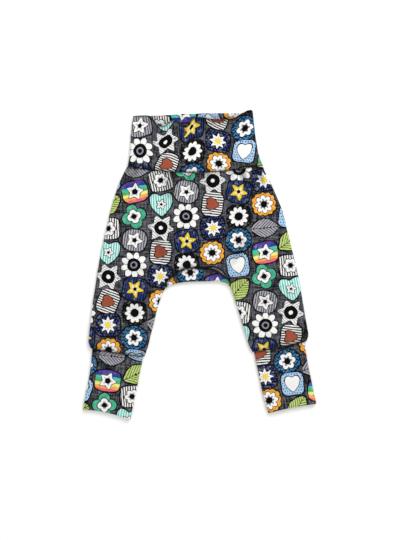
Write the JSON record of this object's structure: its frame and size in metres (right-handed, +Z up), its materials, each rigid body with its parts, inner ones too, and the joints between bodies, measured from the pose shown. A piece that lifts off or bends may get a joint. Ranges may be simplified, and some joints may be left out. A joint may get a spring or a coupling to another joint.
{
  "type": "baby joggers, laid flat",
  "caption": "Baby harem joggers laid flat: tall fold-over waistband, dropped crotch with a gusset, wide legs and long doubled cuffs.",
  "frame": {"origin": "on the surface the garment lies on, under the middle of its outline", "axes": "+Y to the waist, +Z up from the surface, +X to the right of someone looking down at the front"},
  "size_m": [0.3726, 0.4932, 0.0071],
  "materials": {
    "printed_jersey": "single cotton jersey, matt, with an all-over print of flowers, stars, hearts, leaves and pebbles on a charcoal linen-look ground",
    "printed_jersey_doubled": "the same printed cotton jersey folded double, matt"
  },
  "bodies": {
    "root": {"waistband": "printed_jersey_doubled", "front": "printed_jersey", "back": "printed_jersey", "gusset": "printed_jersey", "left_cuff": "printed_jersey_doubled", "right_cuff": "printed_jersey_doubled"}
  },
  "joints": []
}
